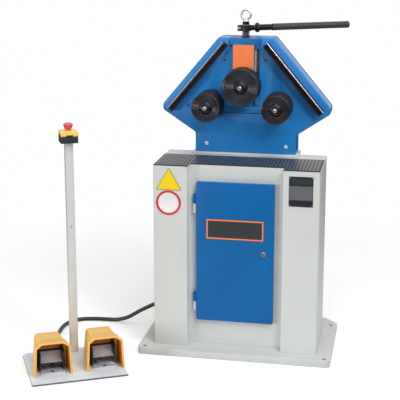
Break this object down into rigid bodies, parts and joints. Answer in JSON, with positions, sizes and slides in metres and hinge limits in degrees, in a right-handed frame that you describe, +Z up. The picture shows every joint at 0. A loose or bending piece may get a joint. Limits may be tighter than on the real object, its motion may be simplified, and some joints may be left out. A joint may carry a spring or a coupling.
{
  "type": "roll bender",
  "caption": "Three-roll section bender on a steel cabinet: geared lower rolls, a top roll lowered by a ratchet-turned screw, and a foot pedal stand with a stop button.",
  "frame": {"origin": "on the floor, under the middle of the cabinet's front face", "axes": "+Z up; -Y is the machine's front, where the rolls and the door face; +X is to the operator's right; the top roll's screw runs along Z"},
  "size_m": [1.3051, 1.0069, 1.4554],
  "materials": {
    "painted_grey": "satin light grey paint",
    "painted_blue": "satin blue paint",
    "painted_dark": "satin dark blue-grey paint",
    "black_steel": "blackened machined steel",
    "bright_steel": "turned and ground steel",
    "bronze": "plain bearing bronze",
    "rubber_black": "ribbed dark rubber",
    "plastic_black": "matt black plastic",
    "plastic_orange": "orange-yellow moulded plastic",
    "plastic_yellow": "yellow moulded plastic",
    "plastic_red": "red moulded plastic",
    "painted_warm": "light warm grey paint",
    "painted_machine": "grey machine enamel",
    "cable_black": "black cable sheath"
  },
  "bodies": {
    "machine": {"base_plate": "painted_grey", "cabinet_shell": "painted_grey", "support_frame": "painted_dark", "electrical_plate": "painted_warm", "rubber_mat": "rubber_black", "head_foot": "painted_grey", "head_housing": "painted_blue", "head_rear_plate": "painted_dark", "front_bearing_left": "bright_steel", "front_bearing_right": "bright_steel", "rear_bearing_left": "bright_steel", "rear_bearing_right": "bright_steel", "gearbox_housing": "painted_machine", "drive_motor": "painted_machine", "bridge_block": "painted_blue", "carriage_gib": "black_steel", "guide_rail_left": "black_steel", "guide_rail_right": "black_steel", "hinge_post_upper": "painted_grey", "hinge_post_lower": "painted_grey", "control_gland": "plastic_black", "mains_gland": "plastic_black", "stand_base": "painted_grey", "stand_post": "painted_warm", "stop_box_base": "plastic_black", "stop_box_lid": "plastic_yellow", "pedal_guard_left": "plastic_orange", "pedal_guard_right": "plastic_orange", "pedal_base_left": "painted_grey", "pedal_base_right": "painted_grey", "pedal_gland": "plastic_black", "control_cable": "cable_black"},
    "drive": {"drive_shaft": "bright_steel", "drive_pinion": "bright_steel"},
    "left_roll_set": {"left_shaft": "bright_steel", "left_gear": "bright_steel", "left_roll": "black_steel", "left_roll_cap": "black_steel"},
    "right_roll_set": {"right_shaft": "bright_steel", "right_gear": "bright_steel", "right_roll": "black_steel", "right_roll_cap": "black_steel"},
    "top_carriage": {"carriage": "bright_steel", "carriage_bush": "bronze", "screw_nut": "bronze"},
    "top_roll_set": {"top_shaft": "bright_steel", "top_roll": "black_steel", "top_roll_cap": "black_steel"},
    "screw": {"lead_screw": "black_steel", "eye_bolt": "bright_steel"},
    "handle": {"ratchet_head": "black_steel", "handle_bar": "black_steel", "handle_grip": "plastic_black"},
    "cabinet_door": {"door": "painted_blue"},
    "lock": {"door_lock": "bright_steel"},
    "pedal_left": {"treadle_left": "painted_warm"},
    "pedal_right": {"treadle_right": "painted_warm"},
    "emergency_button": {"stop_button": "plastic_red"}
  },
  "joints": [
    {"name": "left_roll_spin", "type": "hinge", "parent": "machine", "child": "left_roll_set", "pos_m": [-0.154, 0.2, 1.047], "axis": [0, 1, 0], "continuous": true},
    {"name": "right_roll_spin", "type": "hinge", "parent": "machine", "child": "right_roll_set", "pos_m": [0.144, 0.2, 1.047], "axis": [0, 1, 0], "continuous": true},
    {"name": "drive_spin", "type": "hinge", "parent": "machine", "child": "drive", "pos_m": [-0.005, 0.35, 0.97612], "axis": [0, 1, 0], "continuous": true},
    {"name": "screw_turn", "type": "hinge", "parent": "machine", "child": "screw", "pos_m": [-0.005, 0.287, 1.36], "axis": [0, 0, -1], "range_deg": [0, 4326]},
    {"name": "carriage_slide", "type": "slide", "parent": "machine", "child": "top_carriage", "axis": [0, 0, 1], "range_m": [-0.06, 0]},
    {"name": "top_roll_spin", "type": "hinge", "parent": "top_carriage", "child": "top_roll_set", "pos_m": [-0.005, 0.2, 1.1375], "axis": [0, 1, 0], "continuous": true},
    {"name": "handle_swing", "type": "hinge", "parent": "screw", "child": "handle", "pos_m": [-0.005, 0.287, 1.374], "axis": [0, 0, 1], "continuous": true},
    {"name": "door_swing", "type": "hinge", "parent": "machine", "child": "cabinet_door", "pos_m": [-0.179, 0.0372, 0.45], "axis": [0, 0, -1], "range_deg": [0, 100]},
    {"name": "lock_turn", "type": "hinge", "parent": "cabinet_door", "child": "lock", "pos_m": [0.116, 0.035, 0.449], "axis": [0, -1, 0], "range_deg": [0, 90]},
    {"name": "pedal_left_press", "type": "hinge", "parent": "machine", "child": "pedal_left", "pos_m": [-0.73759, -0.26165, 0.068], "axis": [0.891, 0.454, 0], "range_deg": [0, 10], "stiffness_Nm_per_rad": 0.8, "springref_deg": -28.65},
    {"name": "pedal_right_press", "type": "hinge", "parent": "machine", "child": "pedal_right", "pos_m": [-0.54469, -0.16336, 0.068], "axis": [0.891, 0.454, 0], "range_deg": [0, 10], "stiffness_Nm_per_rad": 0.8, "springref_deg": -28.65},
    {"name": "stop_press", "type": "slide", "parent": "machine", "child": "emergency_button", "axis": [0, 0, 1], "range_m": [-0.004, 0]}
  ],
  "couplings": [
    {"joint": "right_roll_spin", "follows": "left_roll_spin", "ratio": 1},
    {"joint": "drive_spin", "follows": "left_roll_spin", "ratio": -1.2},
    {"joint": "screw_turn", "follows": "carriage_slide", "rad_per_m": -1256.6}
  ]
}
